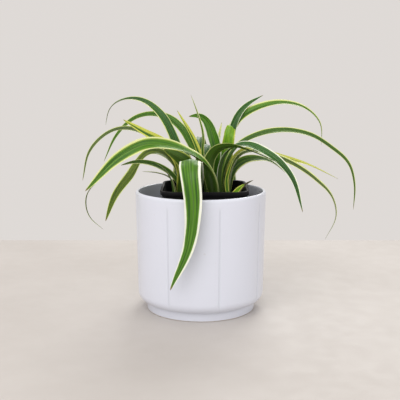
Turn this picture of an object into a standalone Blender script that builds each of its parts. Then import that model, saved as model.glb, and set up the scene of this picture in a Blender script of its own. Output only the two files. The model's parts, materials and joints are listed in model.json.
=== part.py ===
"""Spider plant in a black square nursery pot, set in a white glazed outer pot.

Every size below is in millimetres. The origin is on the outer pot's axis, on
the surface that the pot stands on; +Z is up and -Y is the front.
"""

import math
from collections import namedtuple

import bmesh
import bpy
from mathutils import Quaternion, Vector
from mathutils.geometry import interpolate_bezier

MM = 0.001
GAP = 0.35

# Outer pot: a turned body with eight wide upright panels
POT_HEIGHT = 110.7
POT_RIM_RADIUS = 60.0
POT_SHOULDER_RADIUS = 58.4
POT_SHOULDER_HEIGHT = 17.5
POT_FOOT_RADIUS = 50.2
POT_FOOT_HEIGHT = 7.6
POT_UNDERCUT_RADIUS = 51.4
POT_WALL = 3.0
POT_FLOOR = 8.5
FOOT_CHAMFER = 0.8
GROOVE_SLOPE = 1.2
RIM_ROUND = 2.3
RIM_ROUND_HEIGHT = 3.6
LIP_ROUND = 0.7
WALL_LEAN = 0.2
INNER_CORNER = 7.0
INNER_CORNER_INSET = 2.7
PANELS = 8
PANEL_TURN = math.radians(16)
PANEL_STOP_BELOW_RIM = 5.5
PANEL_STOP_SLOPE = 1.5
SEAM_DEPTH = 0.4
SEAM_HALF_ANGLE = math.radians(1.3)
PANEL_FACETS = 6

# Nursery pot: thin black plastic, square with round corners
NURSERY_X = 3.5
NURSERY_RIM_HEIGHT = 114.3
NURSERY_TOP = 79.0
NURSERY_BASE = 62.0
NURSERY_WALL = 1.1
NURSERY_LIP = 1.2
NURSERY_LIP_HEIGHT = 4.0
NURSERY_CORNER = 13.0
NURSERY_FLOOR = 1.6
NURSERY_LIP_SLOPE = 0.4
CORNER_STEPS = 6
DRAIN_RADIUS = 3.5
DRAIN_OFFSET = 17.0
DRAIN_SIDES = 12

# Potting mix
SOIL_HEIGHT = 101.0
SOIL_CROWN = 1.4
SOIL_EDGE = 8.0

# Leaf blades
BLADE_THICKNESS = 0.9
TIP_THICKNESS = 0.4
RING_SPACING = 7.5
BASE_FOLD = math.radians(58)
BLADE_FOLD = math.radians(20)
BASE_WIDTH_SHARE = 0.5
WIDEST_AT = 0.4
TAPER_START = 2.3
TAPER_BLUNTNESS = 0.7
LEAST_RINGS = 8

Leaf = namedtuple("Leaf", "name width route twist")

ROOT_HEIGHT = SOIL_HEIGHT + SOIL_CROWN + 3 * GAP

# Each leaf: its greatest width, the midrib's route from its root to its tip,
# and how far the blade is turned about the midrib at even steps along it.
LEFT_LEAVES = (
    Leaf("leaf_front_fold", 20.0,
         ((-4, -20), (-4, -30, 125), (-9, -47, 145), (-9, -61, 137), (-6, -68, 107), (-9, -70, 75),
          (-26, -71, 35)),
         (0, 0, -5, 0, 15, 20, 20)),
    Leaf("leaf_front_clasp", 20.0,
         ((-17, -14), (-12, -18, 125), (-14, -31, 140), (-32, -39, 152)),
         (0, 10, 20, 20)),
    Leaf("leaf_left_high", 10.0,
         ((-13, 8), (-17, 10, 132), (-26, 13, 159), (-38, 17, 180), (-60, 22, 193), (-85, 27, 185),
          (-90, 28, 168)),
         (-10, -40, -50, -50, -30, -10, 0)),
    Leaf("leaf_left_straight", 11.0,
         ((-20, -2), (-22, -1, 140), (-34, 1, 154), (-50, 2, 163), (-71, 3, 175)),
         (-10, -45, -70, -75, -70)),
    Leaf("leaf_left_outer_arch", 9.0,
         ((-21, 10), (-25, 16, 136), (-42, 20, 154), (-75, 26, 165), (-105, 34, 145), (-115, 40, 113)),
         (0, -15, -20, -30, -50, -60)),
    Leaf("leaf_left_low", 9.0,
         ((-19, -8), (-23, -9, 121), (-45, -11, 136), (-58, -13, 138), (-72, -15, 135)),
         (0, -30, -40, -45, -45)),
    Leaf("leaf_left_droop", 14.0,
         ((-21, 4), (-22, 6, 126), (-30, 7, 139), (-43, 8, 145), (-66, 8, 122), (-80, 7, 104),
          (-89, 4, 80)),
         (0, -15, -20, -25, -60, -80, -80)),
    Leaf("leaf_left_curl", 8.0,
         ((-15, 14), (-22, 20, 128), (-36, 26, 145), (-53, 32, 149), (-80, 43, 133), (-101, 52, 112),
          (-114, 58, 96), (-112, 56, 76), (-97, 53, 62)),
         (0, -30, -50, -45, -30, -15, -10)),
    Leaf("leaf_left_short", 6.0,
         ((-23, -1), (-28, -1, 122), (-37, -2, 126), (-54, -3, 128)),
         (0, 0, 0)),
    Leaf("leaf_left_inner", 6.0,
         ((-25, -15), (-27, -18, 123), (-32, -20, 132), (-41, -21, 138)),
         (0, -20, -20)),
)

RIGHT_LEAVES = (
    Leaf("leaf_left_rear_arch", 10.0,
         ((4, 16), (0, 18, 133), (-9, 21, 150), (-17, 24, 164), (-29, 30, 174), (-47, 36, 178),
          (-63, 43, 174), (-81, 50, 158), (-96, 57, 130)),
         (-10, -35, -40, -40, -35, -50, -60, -60)),
    Leaf("leaf_left_broad", 18.0,
         ((13, -26), (10, -27, 125), (2, -25, 138), (-12, -19, 147), (-30, -17, 153), (-50, -20, 154),
          (-68, -23, 146), (-102, -32, 114)),
         (0, 10, -10, -35, -65, -70, -60)),
    Leaf("leaf_centre_striped", 6.0,
         ((7, 3), (2, 5, 132), (-5, 9, 154), (-22, 14, 183)),
         (-20, -45, -60, -60)),
    Leaf("leaf_centre_upright", 6.0,
         ((6, -7), (3, -7, 129), (1, -8, 147), (2, -9, 160), (-3, -10, 181), (-9, -10, 198)),
         (-30, -60, -60, -50)),
    Leaf("leaf_centre_hook", 15.0,
         ((12, 0), (12, 0, 130), (13, 0, 150), (10, 0, 163), (6, 0, 173), (0, -1, 179), (-11, -4, 178)),
         (-20, -30, -35, -50, -80, -85, -60)),
    Leaf("leaf_centre_pale", 6.0,
         ((13, 15), (15, 18, 131), (16, 22, 150), (20, 30, 171)),
         (0, 20, 20)),
    Leaf("leaf_centre_bright", 15.0,
         ((20, 10), (22, 10, 132), (25, 10, 150), (27, 11, 163), (29, 14, 170), (30, 17, 165),
          (29, 18, 152)),
         (70, 80, 85)),
    Leaf("leaf_right_rise", 10.5,
         ((22, 20), (23, 23, 130), (27, 26, 151), (32, 29, 172), (40, 33, 184), (60, 40, 196)),
         (20, 35, 50, 65, 50, 10)),
    Leaf("leaf_right_high", 11.0,
         ((22, 29), (23, 31, 131), (27, 34, 156), (35, 34, 172), (59, 34, 186), (80, 35, 189),
          (101, 36, 183), (114, 36, 170), (116, 37, 148)),
         (30, 45, 50, 45, 35, 25, 20, 15)),
    Leaf("leaf_right_long", 9.5,
         ((22, -1), (24, -1, 133), (34, 0, 151), (47, 0, 159), (80, 1, 165), (100, 1, 161),
          (120, 2, 149), (136, 3, 135), (142, 3, 116), (142, 3, 91)),
         (0, 25, 35, 35, 45, 50)),
    Leaf("leaf_right_broad", 11.5,
         ((20, -8), (19, -9, 131), (23, -11, 145), (30, -15, 152), (41, -20, 154), (54, -26, 150),
          (68, -32, 141), (79, -37, 128), (89, -42, 97)),
         (-10, 0, 15, 35, 45, 45, 40)),
    Leaf("leaf_right_under", 12.0,
         ((12, -13), (8, -13, 122), (7, -13, 136), (12, -16, 147), (26, -25, 153), (40, -33, 151),
          (68, -42, 140)),
         (0, 0, 10, 20, 35, 50, 60)),
    Leaf("leaf_right_curl", 9.0,
         ((28, -7), (30, -8, 134), (37, -6, 144), (53, -4, 146), (70, -4, 141), (91, -4, 131),
          (107, -4, 119), (119, -4, 107), (125, -4, 88), (115, -4, 64)),
         (0, 10, 30, 45, 45, 30, 20)),
    Leaf("leaf_right_yellow", 9.0,
         ((27, 3), (28, 3, 133), (38, 5, 145), (56, 12, 145), (71, 16, 140), (99, 23, 132),
          (133, 31, 116)),
         (0, 10, 40, 45, 20, 10)),
    Leaf("leaf_right_low", 10.0,
         ((29, 14), (28, 16, 120), (32, 20, 129), (41, 25, 135), (54, 31, 136), (68, 38, 132),
          (89, 50, 115)),
         (0, 30, 50, 40, 20, 10, 0)),
    Leaf("leaf_right_inner", 4.0,
         ((26, -19), (23, -17, 124), (26, -18, 134), (30, -19, 146)),
         (0, 20, 30)),
    Leaf("leaf_right_young", 8.0,
         ((25, -26), (29, -27, 108), (33, -28, 115), (39, -29, 120)),
         (10, 50, 50)),
    Leaf("dry_sheath", 5.0,
         ((33, -10), (36, -10, 112), (42, -10, 118), (48, -10, 121)),
         (0, 30, 30)),
)

BACK_LEAVES = (
    Leaf("leaf_back_left", 12.0,
         ((-9, 16), (-12, 23, 122), (-15, 36, 137), (-17, 53, 142), (-21, 70, 134), (-30, 94, 84)),
         (0, 5, 10, 10)),
    Leaf("leaf_back_long", 8.0,
         ((-3, 21), (-2, 27, 130), (-1, 40, 147), (-1, 55, 154), (2, 76, 148), (6, 95, 128),
          (9, 110, 68)),
         (0, 0, 5, 5)),
    Leaf("leaf_back_centre", 8.0,
         ((7, 21), (5, 28, 128), (5, 40, 142), (8, 54, 147), (12, 70, 140), (20, 93, 90)),
         (0, 0, -5, -5)),
    Leaf("leaf_back_right", 11.0,
         ((11, 32), (14, 37, 119), (18, 47, 129), (24, 58, 132), (29, 70, 125), (37, 88, 82)),
         (0, -5, -10, -10)),
)


def clear_scene():
    for obj in list(bpy.data.objects):
        bpy.data.objects.remove(obj, do_unlink=True)


def make_material(name, color, roughness):
    material = bpy.data.materials.new(name)
    material.use_nodes = True
    shader = material.node_tree.nodes["Principled BSDF"]
    shader.inputs["Base Color"].default_value = (*color, 1.0)
    shader.inputs["Roughness"].default_value = roughness
    shader.inputs["Metallic"].default_value = 0.0
    return material


def add_object(name, bm, material, smooth_angle=35):
    bmesh.ops.recalc_face_normals(bm, faces=bm.faces[:])
    mesh = bpy.data.meshes.new(name)
    bm.to_mesh(mesh)
    bm.free()
    mesh.shade_smooth()
    mesh.set_sharp_from_angle(angle=math.radians(smooth_angle))
    mesh.materials.append(material)
    obj = bpy.data.objects.new(name, mesh)
    bpy.context.scene.collection.objects.link(obj)
    return obj


def add_ring(bm, points):
    return [bm.verts.new(Vector(point) * MM) for point in points]


def join_rings(bm, lower, upper):
    count = len(lower)
    for i in range(count):
        after = (i + 1) % count
        bm.faces.new((lower[i], lower[after], upper[after], upper[i]))


def loft(bm, rings):
    """Closed skin over a stack of point rings, capped at both ends."""
    made = [add_ring(bm, ring) for ring in rings]
    for lower, upper in zip(made, made[1:]):
        join_rings(bm, lower, upper)
    bm.faces.new(made[0])
    bm.faces.new(made[-1])


def arc(center_r, center_z, radius_r, radius_z, start, end, steps):
    """Points (radius, height) along an elliptical arc, angles in degrees."""
    points = []
    for i in range(steps + 1):
        angle = math.radians(start + (end - start) * i / steps)
        points.append((center_r + radius_r * math.cos(angle), center_z + radius_z * math.sin(angle)))
    return points


def pot_angles():
    """Angles round the pot: a narrow seam, then the facets of one panel, repeated."""
    angles = []
    panel = 2 * math.pi / PANELS
    for index in range(PANELS):
        seam = index * panel + PANEL_TURN - math.pi / 2
        angles.append((seam, True))
        first = SEAM_HALF_ANGLE
        span = panel - 2 * SEAM_HALF_ANGLE
        for step in range(PANEL_FACETS):
            angles.append((seam + first + span * step / (PANEL_FACETS - 1), False))
    return angles


def pot_outside():
    """Outer half-profile from the foot up to the rim: radius, height, seam share."""
    shoulder = arc(POT_UNDERCUT_RADIUS, POT_SHOULDER_HEIGHT, POT_SHOULDER_RADIUS - POT_UNDERCUT_RADIUS,
                   POT_SHOULDER_HEIGHT - POT_FOOT_HEIGHT - GROOVE_SLOPE, -75, 0, 5)
    rim = arc(POT_RIM_RADIUS - RIM_ROUND, POT_HEIGHT - RIM_ROUND_HEIGHT, RIM_ROUND, RIM_ROUND_HEIGHT, 0, 90, 4)
    panel_top = POT_HEIGHT - PANEL_STOP_BELOW_RIM
    profile = [(POT_FOOT_RADIUS - FOOT_CHAMFER, 0.0, 0.0), (POT_FOOT_RADIUS, FOOT_CHAMFER, 0.0)]
    profile.append((POT_FOOT_RADIUS, POT_FOOT_HEIGHT, 0.0))
    profile.extend((r, z, 0.0) for r, z in shoulder[:-2])
    profile.extend((r, z, 1.0) for r, z in shoulder[-2:])
    profile.append((POT_RIM_RADIUS, panel_top - PANEL_STOP_SLOPE, 1.0))
    profile.append((POT_RIM_RADIUS, panel_top, 0.0))
    profile.extend((r, z, 0.0) for r, z in rim)
    return profile


def pot_inside():
    """Inner half-profile from the rim down to the floor."""
    inner = POT_RIM_RADIUS - POT_WALL
    lip = arc(inner + LIP_ROUND, POT_HEIGHT - LIP_ROUND, LIP_ROUND, LIP_ROUND, 90, 180, 2)[1:]
    corner = arc(POT_FOOT_RADIUS - INNER_CORNER_INSET, POT_FLOOR + INNER_CORNER, INNER_CORNER, INNER_CORNER,
                 0, -90, 4)
    low = (POT_SHOULDER_RADIUS - POT_WALL - WALL_LEAN, POT_SHOULDER_HEIGHT + POT_WALL)
    return [(r, z, 0.0) for r, z in lip + [low] + corner]


def make_outer_pot():
    angles = pot_angles()
    rings = []
    for radius, height, seam_share in pot_outside() + pot_inside():
        ring = []
        for angle, on_seam in angles:
            r = radius - (SEAM_DEPTH * seam_share if on_seam else 0.0)
            ring.append((r * math.cos(angle), r * math.sin(angle), height))
        rings.append(ring)
    bm = bmesh.new()
    loft(bm, rings)
    glaze = make_material("white_glaze", (0.80, 0.81, 0.84), 0.22)
    return add_object("outer_pot", bm, glaze)


def square_ring(width, corner, height):
    """Square with round corners, centred on the nursery pot."""
    reach = width / 2 - corner
    points = []
    for quarter in range(4):
        side_x = 1 if quarter in (0, 3) else -1
        side_y = 1 if quarter in (0, 1) else -1
        for step in range(CORNER_STEPS + 1):
            angle = math.pi / 2 * (quarter + step / CORNER_STEPS)
            x = NURSERY_X + side_x * reach + corner * math.cos(angle)
            points.append((x, side_y * reach + corner * math.sin(angle), height))
    return points


def nursery_width(height):
    """Outer width of the tapered wall at a height above the stand surface."""
    base = POT_FLOOR + GAP
    share = (height - base) / (NURSERY_RIM_HEIGHT - base)
    return NURSERY_BASE + (NURSERY_TOP - 2 * NURSERY_LIP - NURSERY_BASE) * share


def nursery_corner(width):
    return NURSERY_CORNER * width / NURSERY_TOP


def drain_cutter(side_x, side_y):
    bm = bmesh.new()
    bmesh.ops.create_cone(bm, cap_ends=True, segments=DRAIN_SIDES, radius1=DRAIN_RADIUS * MM,
                          radius2=DRAIN_RADIUS * MM, depth=6 * NURSERY_FLOOR * MM)
    mesh = bpy.data.meshes.new("drain_cutter")
    bm.to_mesh(mesh)
    bm.free()
    cutter = bpy.data.objects.new("drain_cutter", mesh)
    x = NURSERY_X + side_x * DRAIN_OFFSET
    cutter.location = Vector((x, side_y * DRAIN_OFFSET, POT_FLOOR + GAP)) * MM
    cutter.hide_render = True
    cutter.display_type = "WIRE"
    bpy.context.scene.collection.objects.link(cutter)
    return cutter


def make_nursery_pot():
    base = POT_FLOOR + GAP
    under_lip = NURSERY_RIM_HEIGHT - NURSERY_LIP_HEIGHT
    heights = (base, under_lip)
    rings = [square_ring(nursery_width(h), nursery_corner(nursery_width(h)), h) for h in heights]
    lip = NURSERY_TOP
    rings.append(square_ring(lip, nursery_corner(lip), under_lip + NURSERY_LIP_SLOPE))
    rings.append(square_ring(lip, nursery_corner(lip), NURSERY_RIM_HEIGHT))
    inner_top = nursery_width(NURSERY_RIM_HEIGHT) - 2 * NURSERY_WALL
    rings.append(square_ring(inner_top, nursery_corner(inner_top), NURSERY_RIM_HEIGHT))
    inner_base = nursery_width(base + NURSERY_FLOOR) - 2 * NURSERY_WALL
    rings.append(square_ring(inner_base, nursery_corner(inner_base), base + NURSERY_FLOOR))
    bm = bmesh.new()
    loft(bm, rings)
    plastic = make_material("black_plastic", (0.012, 0.012, 0.014), 0.45)
    pot = add_object("nursery_pot", bm, plastic)
    for side_x in (-1, 1):
        for side_y in (-1, 1):
            cut = pot.modifiers.new("drain_hole", "BOOLEAN")
            cut.operation = "DIFFERENCE"
            cut.object = drain_cutter(side_x, side_y)
    return pot


def make_soil():
    low = POT_FLOOR + GAP + NURSERY_FLOOR + GAP
    rings = []
    for height in (low, SOIL_HEIGHT):
        width = nursery_width(height) - 2 * NURSERY_WALL - 2 * GAP
        rings.append(square_ring(width, nursery_corner(width), height))
    domed = width - 2 * SOIL_EDGE
    rings.append(square_ring(domed, nursery_corner(domed), SOIL_HEIGHT + SOIL_CROWN))
    bm = bmesh.new()
    loft(bm, rings)
    peat = make_material("potting_mix", (0.035, 0.024, 0.017), 0.95)
    return add_object("potting_mix", bm, peat)


def route_tangents(points):
    """Unit direction at each route point, weighted towards the nearer neighbour."""
    steps = [after - before for before, after in zip(points, points[1:])]
    tangents = [steps[0].normalized()]
    for before, after in zip(steps, steps[1:]):
        mixed = before / before.length_squared + after / after.length_squared
        tangents.append(mixed.normalized())
    tangents.append(steps[-1].normalized())
    return tangents


def smooth_route(points, per_span=12):
    tangents = route_tangents(points)
    samples = []
    for i in range(len(points) - 1):
        start, end = points[i], points[i + 1]
        reach = (end - start).length / 3
        handles = start + tangents[i] * reach, end - tangents[i + 1] * reach
        samples.extend(interpolate_bezier(start, *handles, end, per_span + 1)[:-1])
    samples.append(points[-1])
    return samples


def even_stations(samples, count):
    """Points at equal distances along a polyline."""
    lengths = [0.0]
    for before, after in zip(samples, samples[1:]):
        lengths.append(lengths[-1] + (after - before).length)
    stations = []
    span = 0
    for i in range(count + 1):
        target = lengths[-1] * i / count
        while span < len(samples) - 2 and lengths[span + 1] < target:
            span += 1
        share = (target - lengths[span]) / (lengths[span + 1] - lengths[span])
        stations.append(samples[span].lerp(samples[span + 1], share))
    return stations


def blade_width(share):
    """Width of the blade over its greatest width: narrow root, long taper to the tip."""
    rise = 1.0 - max(0.0, 1.0 - share / WIDEST_AT) ** 2 * (1.0 - BASE_WIDTH_SHARE)
    taper = (1.0 - share ** TAPER_START) ** TAPER_BLUNTNESS
    return rise * taper


def blade_fold(share):
    """How far each half of the blade is folded up from flat: most at the root."""
    return BLADE_FOLD + (BASE_FOLD - BLADE_FOLD) * max(0.0, 1.0 - share / WIDEST_AT) ** 2


def twist_at(twist, share):
    place = share * (len(twist) - 1)
    index = min(int(place), len(twist) - 2)
    angle = twist[index] + (twist[index + 1] - twist[index]) * (place - index)
    return math.radians(angle)


def blade_frames(stations, heading):
    """Midrib direction, across direction and face normal at each station, without spin."""
    across = Vector((-heading.y, heading.x, 0)).normalized()
    frames = []
    previous = None
    for i, station in enumerate(stations):
        behind = stations[max(i - 1, 0)]
        ahead = stations[min(i + 1, len(stations) - 1)]
        along = (ahead - behind).normalized()
        if previous is not None:
            across = previous.rotation_difference(along) @ across
        across = (across - along * across.dot(along)).normalized()
        frames.append((along, across, along.cross(across)))
        previous = along
    return frames


def leaf_points(leaf):
    root_x, root_y = leaf.route[0]
    return [Vector((root_x, root_y, ROOT_HEIGHT))] + [Vector(point) for point in leaf.route[1:]]


def join_blade(bm, lower, upper):
    """Skin between two blade sections, split the same way above and below."""
    for edge, middle in ((0, 1), (2, 1), (2, 3), (0, 3)):
        bm.faces.new((lower[edge], lower[middle], upper[middle]))
        bm.faces.new((lower[edge], upper[middle], upper[edge]))


def blade_section(leaf, share, station, frame):
    """Four corners of the folded blade: left edge, top of the midrib, right edge, underside."""
    along, across, normal = frame
    turn = Quaternion(along, twist_at(leaf.twist, share))
    across, normal = turn @ across, turn @ normal
    half = leaf.width / 2 * blade_width(share)
    fold = blade_fold(share)
    side = across * (half * math.cos(fold))
    lift = normal * (half * math.sin(fold))
    core = normal * ((BLADE_THICKNESS + (TIP_THICKNESS - BLADE_THICKNESS) * share) / 2)
    return station + side + lift, station + core, station - side + lift, station - core


def close_blade(bm, first, last, tip):
    """Cap the root with two triangles and bring the last section to the tip."""
    left, top, right, bottom = first
    bm.faces.new((left, top, bottom))
    bm.faces.new((top, right, bottom))
    point = bm.verts.new(tip * MM)
    for i in range(4):
        bm.faces.new((last[i], last[(i + 1) % 4], point))


def make_leaf(leaf, material):
    points = leaf_points(leaf)
    samples = smooth_route(points)
    length = sum((after - before).length for before, after in zip(samples, samples[1:]))
    count = max(LEAST_RINGS, round(length / RING_SPACING))
    stations = even_stations(samples, count)
    frames = blade_frames(stations, points[len(points) // 2] - points[0])
    bm = bmesh.new()
    made = [add_ring(bm, blade_section(leaf, i / count, stations[i], frames[i])) for i in range(count)]
    for lower, upper in zip(made, made[1:]):
        join_blade(bm, lower, upper)
    close_blade(bm, made[0], made[-1], stations[-1])
    return add_object(leaf.name, bm, material, smooth_angle=60)


def make_plant():
    green = make_material("leaf_green", (0.10, 0.22, 0.05), 0.45)
    straw = make_material("dry_leaf", (0.30, 0.21, 0.11), 0.7)
    for leaf in LEFT_LEAVES + RIGHT_LEAVES + BACK_LEAVES:
        make_leaf(leaf, straw if leaf.name == "dry_sheath" else green)


def main():
    clear_scene()
    make_outer_pot()
    make_nursery_pot()
    make_soil()
    make_plant()


main()
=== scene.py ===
# %% [markdown]
# # A potted spider plant
# The plant stands in a square black nursery pot, and that stands loosely in a
# round white glazed outer pot. About thirty arching leaves, green with pale
# margins, rise from two crowns in the potting mix.
#
# The solids were made first, as plain shapes at their real size. Here they are
# loaded as a fixed frame, and each one is replaced by a finer mesh with its
# finish. Working inside a fixed frame keeps every size true.

# %% Load the frame
import json
import math
import random
from collections import namedtuple

import bmesh
import bpy
from mathutils import Euler, Matrix, Quaternion, Vector, noise
from mathutils.geometry import interpolate_bezier

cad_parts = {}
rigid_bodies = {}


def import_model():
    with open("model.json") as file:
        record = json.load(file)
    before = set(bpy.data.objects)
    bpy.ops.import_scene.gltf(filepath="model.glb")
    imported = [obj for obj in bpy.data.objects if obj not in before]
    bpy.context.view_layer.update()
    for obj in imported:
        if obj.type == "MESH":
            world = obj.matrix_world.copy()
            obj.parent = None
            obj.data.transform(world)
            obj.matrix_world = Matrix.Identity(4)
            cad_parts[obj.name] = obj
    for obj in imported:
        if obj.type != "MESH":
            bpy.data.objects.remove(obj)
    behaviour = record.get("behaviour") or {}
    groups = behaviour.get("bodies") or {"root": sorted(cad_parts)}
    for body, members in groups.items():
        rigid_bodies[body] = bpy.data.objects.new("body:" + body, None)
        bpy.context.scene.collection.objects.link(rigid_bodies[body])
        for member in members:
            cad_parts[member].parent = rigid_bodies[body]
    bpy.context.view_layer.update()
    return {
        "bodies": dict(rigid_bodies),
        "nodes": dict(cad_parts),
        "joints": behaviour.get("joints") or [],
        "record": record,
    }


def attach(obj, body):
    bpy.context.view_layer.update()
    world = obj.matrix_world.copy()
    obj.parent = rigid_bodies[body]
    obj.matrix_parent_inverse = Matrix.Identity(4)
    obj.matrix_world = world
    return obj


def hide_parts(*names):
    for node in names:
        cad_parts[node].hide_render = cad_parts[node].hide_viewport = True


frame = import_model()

MM = 0.001

# %% [markdown]
# ## The camera
# A short telephoto lens, a little above the rim and tipped down by less than
# ten degrees, shows the mouth of the pot as a flat ellipse and keeps its sides
# nearly upright. It could also aim with a tracking constraint, but a fixed
# tilt is easier to read and to repeat.

# %% Camera
CAMERA_PLACE = Vector((-0.65, -701.5, 218.4)) * MM
CAMERA_DIP = 9.5
CAMERA_LENS = 69.2
SENSOR_WIDTH = 36

camera_data = bpy.data.cameras.new("camera")
camera_data.lens = CAMERA_LENS
camera_data.sensor_width = SENSOR_WIDTH
camera = bpy.data.objects.new("camera", camera_data)
camera.location = CAMERA_PLACE
camera.rotation_euler = (math.radians(90 - CAMERA_DIP), 0, 0)
scene = bpy.context.scene
scene.collection.objects.link(camera)
scene.camera = camera
print("camera distance in mm:", round(CAMERA_PLACE.length / MM))

# %% [markdown]
# ## Helpers for meshes
# Every piece below is built point by point in bmesh, because leaves and turned
# ware are both simple to say as rings of points joined by faces. A few helpers
# do the joining, the closing and the easing, so each piece only has to say
# where its points go.

# %% Mesh helpers
def add_ring(bm, points):
    return [bm.verts.new(Vector(point) * MM) for point in points]


def join_rings(bm, lower, upper):
    for i in range(len(lower)):
        after = (i + 1) % len(lower)
        bm.faces.new((lower[i], lower[after], upper[after], upper[i]))


def skin_rings(bm, rings):
    """Join each ring to the next, and close both ends."""
    for lower, upper in zip(rings, rings[1:]):
        join_rings(bm, lower, upper)
    bm.faces.new(rings[0])
    bm.faces.new(rings[-1])


def smooth_step(value, start=0.0, end=1.0):
    """Eased share, 0 while value is short of start and 1 once it is past end."""
    share = min(1.0, max(0.0, (value - start) / (end - start)))
    return share * share * (3 - 2 * share)


def set_attribute(mesh, name, values):
    """Give each point of the mesh a number that its material can read."""
    attribute = mesh.attributes.new(name, "FLOAT", "POINT")
    attribute.data.foreach_set("value", values)


def finish_piece(name, bm, sharp_angle=50):
    """Turn a bmesh into a smooth-shaded object in the scene."""
    bmesh.ops.recalc_face_normals(bm, faces=bm.faces[:])
    mesh = bpy.data.meshes.new(name)
    bm.to_mesh(mesh)
    bm.free()
    mesh.shade_smooth()
    mesh.set_sharp_from_angle(angle=math.radians(sharp_angle))
    piece = bpy.data.objects.new(name, mesh)
    scene.collection.objects.link(piece)
    return piece


# %% [markdown]
# ## Helpers for materials
# A shader tree is a small program drawn as boxes. These helpers write it as
# short lines instead: each one adds a node, plugs numbers or other nodes'
# sockets into it, and hands back the socket that carries its result.

# %% Shader helpers
def add_node(tree, kind, **settings):
    node = tree.nodes.new(kind)
    for key, value in settings.items():
        setattr(node, key, value)
    return node


def plug(tree, value, socket):
    if isinstance(value, bpy.types.NodeSocket):
        tree.links.new(value, socket)
    else:
        socket.default_value = value


def calc(tree, operation, *values):
    node = add_node(tree, "ShaderNodeMath", operation=operation)
    for value, socket in zip(values, node.inputs):
        plug(tree, value, socket)
    return node.outputs[0]


def blend(tree, share, first, second):
    """Colour that goes from first to second as share goes from 0 to 1."""
    node = add_node(tree, "ShaderNodeMix", data_type="RGBA")
    plug(tree, share, node.inputs["Factor"])
    plug(tree, first, node.inputs[6])
    plug(tree, second, node.inputs[7])
    return node.outputs[2]


def ease(tree, value, start, end, low=0.0, high=1.0):
    """Smooth step of value between start and end, as low to high."""
    node = add_node(tree, "ShaderNodeMapRange", interpolation_type="SMOOTHSTEP")
    numbers = {"Value": value, "From Min": start, "From Max": end, "To Min": low, "To Max": high}
    for name, number in numbers.items():
        plug(tree, number, node.inputs[name])
    return node.outputs["Result"]


def combine(tree, x, y, z):
    node = add_node(tree, "ShaderNodeCombineXYZ")
    for value, socket in zip((x, y, z), node.inputs):
        plug(tree, value, socket)
    return node.outputs[0]


def cloud(tree, place, scale, detail):
    """Soft random value, from 0 to 1, that changes over the surface."""
    node = add_node(tree, "ShaderNodeTexNoise")
    for name, number in (("Vector", place), ("Scale", scale), ("Detail", detail)):
        plug(tree, number, node.inputs[name])
    return node.outputs["Fac"]


def read_attribute(tree, name):
    return add_node(tree, "ShaderNodeAttribute", attribute_name=name).outputs["Fac"]


def start_group(name, inputs, outputs):
    """An empty node group with named sockets. Each input is (name, kind, default)."""
    tree = bpy.data.node_groups.new(name, "ShaderNodeTree")
    for label, kind, value in inputs:
        socket = tree.interface.new_socket(label, in_out="INPUT", socket_type="NodeSocket" + kind)
        socket.default_value = value
    for label, kind in outputs:
        tree.interface.new_socket(label, in_out="OUTPUT", socket_type="NodeSocket" + kind)
    given = tree.nodes.new("NodeGroupInput").outputs
    result = tree.nodes.new("NodeGroupOutput").inputs
    return tree, given, result


def use_group(tree, group, **values):
    """Place a group in a tree. Underscores in the keywords stand for spaces."""
    node = add_node(tree, "ShaderNodeGroup", node_tree=group)
    for key, value in values.items():
        plug(tree, value, node.inputs[key.replace("_", " ")])
    return node.outputs


def start_material(name):
    material = bpy.data.materials.new(name)
    material.use_nodes = True
    return material, material.node_tree, material.node_tree.nodes["Principled BSDF"]


def add_bump(tree, shader, height, distance, strength):
    """Raise the surface by height, at most distance, in millimetres."""
    bump = add_node(tree, "ShaderNodeBump")
    bump.inputs["Distance"].default_value = distance * MM
    bump.inputs["Strength"].default_value = strength
    plug(tree, height, bump.inputs["Height"])
    plug(tree, bump.outputs[0], shader.inputs["Normal"])


# %% [markdown]
# ## Grain, a shared effect
# Ceramic, plastic, soil and the table all need the same thing: a soft mottle
# with a finer one on top of it, to break up a flat colour, to vary the gloss
# or to raise the surface a little. One node group makes it from the place on
# the piece, and each material gives it sizes of its own.

# %% Grain group
GRAIN_DETAIL = 4.0

grain, given, result = start_group(
    "grain",
    [("Broad Scale", "Float", 20.0), ("Fine Scale", "Float", 300.0), ("Fine Share", "Float", 0.4)],
    [("Mottle", "Float"), ("Fine", "Float"), ("Height", "Float")],
)
place = add_node(grain, "ShaderNodeTexCoord").outputs["Object"]
broad = add_node(grain, "ShaderNodeTexNoise")
fine = add_node(grain, "ShaderNodeTexNoise")
for texture, scale_name in ((broad, "Broad Scale"), (fine, "Fine Scale")):
    plug(grain, place, texture.inputs["Vector"])
    plug(grain, given[scale_name], texture.inputs["Scale"])
    texture.inputs["Detail"].default_value = GRAIN_DETAIL
plug(grain, broad.outputs["Fac"], result["Mottle"])
plug(grain, fine.outputs["Fac"], result["Fine"])
fine_part = calc(grain, "MULTIPLY", fine.outputs["Fac"], given["Fine Share"])
plug(grain, calc(grain, "ADD", broad.outputs["Fac"], fine_part), result["Height"])
print("groups:", [g.name for g in bpy.data.node_groups])

# %% [markdown]
# ## The table, the air and the lamps
# The plant stands on a plain pale table whose far edge meets a plain pale
# wall. The wall is only the world's colour, so it also gives most of the soft
# light. Three large soft lamps add the rest: one high in front on the left,
# which draws the bright line along the pot's rim, one on the right to keep the
# shadow side open, and one behind to shine through the leaves.

# %% Table
TABLE_WIDTH = 3200
TABLE_FRONT = -2600
TABLE_BACK = 284
TABLE_THICKNESS = 30
WALL_COLOR = (0.735, 0.70, 0.675, 1.0)
TABLE_COLORS = (0.535, 0.503, 0.478, 1.0), (0.572, 0.541, 0.517, 1.0)
TABLE_ROUGHNESS = 0.55, 0.70

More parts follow.
